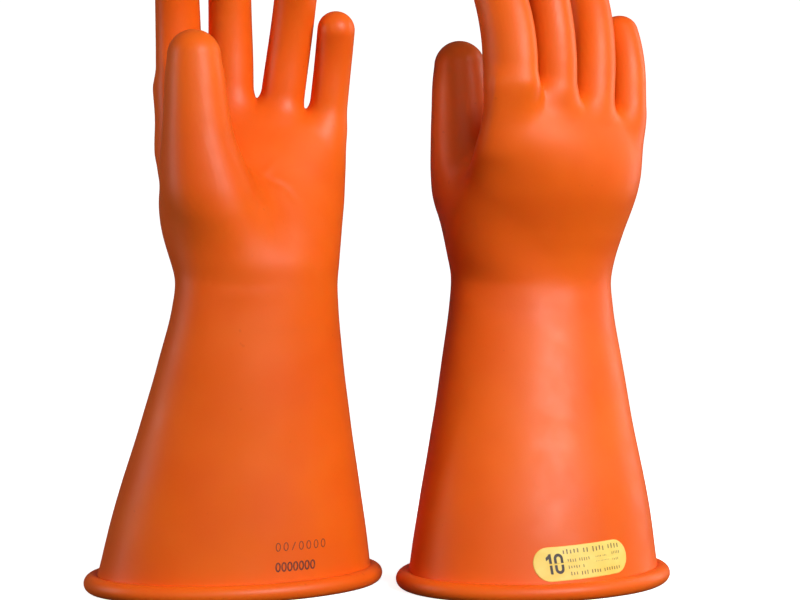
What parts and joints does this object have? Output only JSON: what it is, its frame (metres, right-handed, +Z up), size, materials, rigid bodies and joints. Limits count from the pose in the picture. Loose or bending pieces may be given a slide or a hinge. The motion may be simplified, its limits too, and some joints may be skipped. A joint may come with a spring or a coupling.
{
  "type": "pair of electrical insulating rubber gloves",
  "caption": "Pair of long-cuff orange rubber insulating gloves with flared oval gauntlets, rolled cuff beads and bending wrists, thumbs and fingers.",
  "frame": {"origin": "on the floor at the middle of the pair's footprint", "axes": "+Z up from the cuff beads to the fingertips, +X from the left-hand glove to the right-hand glove, +Y away from the side that shows the left glove's palm and the right glove's back"},
  "size_m": [0.3829, 0.156, 0.4103],
  "materials": {
    "orange_rubber": "smooth satin dipped film, slightly darker in thick folds",
    "size_label": "thin matt yellow label with dark print"
  },
  "bodies": {
    "left_cuff": {"left_gauntlet": "orange_rubber", "left_cuff_bead": "orange_rubber", "left_size_label": "size_label", "left_wrist_flex": "orange_rubber"},
    "left_hand": {"left_palm": "orange_rubber", "left_thumb_ball": "orange_rubber", "left_knuckles": "orange_rubber", "left_thumb_flex": "orange_rubber", "left_index_finger_flex": "orange_rubber", "left_middle_finger_flex": "orange_rubber", "left_ring_finger_flex": "orange_rubber", "left_little_finger_flex": "orange_rubber"},
    "left_thumb": {"left_thumb": "orange_rubber"},
    "left_index_finger": {"left_index_finger": "orange_rubber"},
    "left_middle_finger": {"left_middle_finger": "orange_rubber"},
    "left_ring_finger": {"left_ring_finger": "orange_rubber"},
    "left_little_finger": {"left_little_finger": "orange_rubber"},
    "right_cuff": {"right_gauntlet": "orange_rubber", "right_cuff_bead": "orange_rubber", "right_size_label": "size_label", "right_wrist_flex": "orange_rubber"},
    "right_hand": {"right_palm": "orange_rubber", "right_thumb_ball": "orange_rubber", "right_knuckles": "orange_rubber", "right_thumb_flex": "orange_rubber", "right_index_finger_flex": "orange_rubber", "right_middle_finger_flex": "orange_rubber", "right_ring_finger_flex": "orange_rubber", "right_little_finger_flex": "orange_rubber"},
    "right_thumb": {"right_thumb": "orange_rubber"},
    "right_index_finger": {"right_index_finger": "orange_rubber"},
    "right_middle_finger": {"right_middle_finger": "orange_rubber"},
    "right_ring_finger": {"right_ring_finger": "orange_rubber"},
    "right_little_finger": {"right_little_finger": "orange_rubber"}
  },
  "joints": [
    {"name": "left_wrist_bend", "type": "hinge", "parent": "left_cuff", "child": "left_hand", "pos_m": [-0.0785, -0.0258, 0.1965], "axis": [0.9171, 0.3987, 0], "range_deg": [-20, 25], "stiffness_Nm_per_rad": 2, "deforming": ["left_wrist_flex"]},
    {"name": "left_thumb_bend", "type": "hinge", "parent": "left_hand", "child": "left_thumb", "pos_m": [-0.1145, -0.0541, 0.298], "axis": [1, 0, 0], "range_deg": [-10, 20], "stiffness_Nm_per_rad": 0.15, "deforming": ["left_thumb_flex"]},
    {"name": "left_index_finger_bend", "type": "hinge", "parent": "left_hand", "child": "left_index_finger", "pos_m": [-0.132, 0.0089, 0.3335], "axis": [0.9998, 0, -0.0175], "range_deg": [-10, 45], "stiffness_Nm_per_rad": 0.15, "deforming": ["left_index_finger_flex"]},
    {"name": "left_middle_finger_bend", "type": "hinge", "parent": "left_hand", "child": "left_middle_finger", "pos_m": [-0.0981, 0.0134, 0.33], "axis": [1, 0, 0], "range_deg": [-10, 45], "stiffness_Nm_per_rad": 0.15, "deforming": ["left_middle_finger_flex"]},
    {"name": "left_ring_finger_bend", "type": "hinge", "parent": "left_hand", "child": "left_ring_finger", "pos_m": [-0.0633, 0.0149, 0.326], "axis": [0.9895, 0, -0.1444], "range_deg": [-10, 45], "stiffness_Nm_per_rad": 0.15, "deforming": ["left_ring_finger_flex"]},
    {"name": "left_little_finger_bend", "type": "hinge", "parent": "left_hand", "child": "left_little_finger", "pos_m": [-0.0338, 0.0179, 0.319], "axis": [0.9942, 0, -0.108], "range_deg": [-10, 45], "stiffness_Nm_per_rad": 0.15, "deforming": ["left_little_finger_flex"]},
    {"name": "right_glove_apart", "type": "slide", "parent": "left_cuff", "child": "right_cuff", "axis": [1, 0, 0], "range_m": [0, 0.3]},
    {"name": "right_wrist_bend", "type": "hinge", "parent": "right_cuff", "child": "right_hand", "pos_m": [0.09938, 0.02852, 0.1965], "axis": [-0.9537, -0.3007, 0], "range_deg": [-20, 25], "stiffness_Nm_per_rad": 2, "deforming": ["right_wrist_flex"]},
    {"name": "right_thumb_bend", "type": "hinge", "parent": "right_hand", "child": "right_thumb", "pos_m": [0.05365, 0.02626, 0.298], "axis": [-0.7547, -0.6561, 0], "range_deg": [-10, 20], "stiffness_Nm_per_rad": 0.15, "deforming": ["right_thumb_flex"]},
    {"name": "right_index_finger_bend", "type": "hinge", "parent": "right_hand", "child": "right_index_finger", "pos_m": [0.08177, -0.03277, 0.3335], "axis": [-0.7546, -0.656, 0.0175], "range_deg": [-10, 45], "stiffness_Nm_per_rad": 0.15, "deforming": ["right_index_finger_flex"]},
    {"name": "right_middle_finger_bend", "type": "hinge", "parent": "right_hand", "child": "right_middle_finger", "pos_m": [0.11031, -0.01392, 0.33], "axis": [-0.7547, -0.6561, 0], "range_deg": [-10, 45], "stiffness_Nm_per_rad": 0.15, "deforming": ["right_middle_finger_flex"]},
    {"name": "right_ring_finger_bend", "type": "hinge", "parent": "right_hand", "child": "right_ring_finger", "pos_m": [0.13756, 0.00778, 0.326], "axis": [-0.7468, -0.6492, 0.1444], "range_deg": [-10, 45], "stiffness_Nm_per_rad": 0.15, "deforming": ["right_ring_finger_flex"]},
    {"name": "right_little_finger_bend", "type": "hinge", "parent": "right_hand", "child": "right_little_finger", "pos_m": [0.16179, 0.02486, 0.319], "axis": [-0.7503, -0.6522, 0.108], "range_deg": [-10, 45], "stiffness_Nm_per_rad": 0.15, "deforming": ["right_little_finger_flex"]}
  ]
}
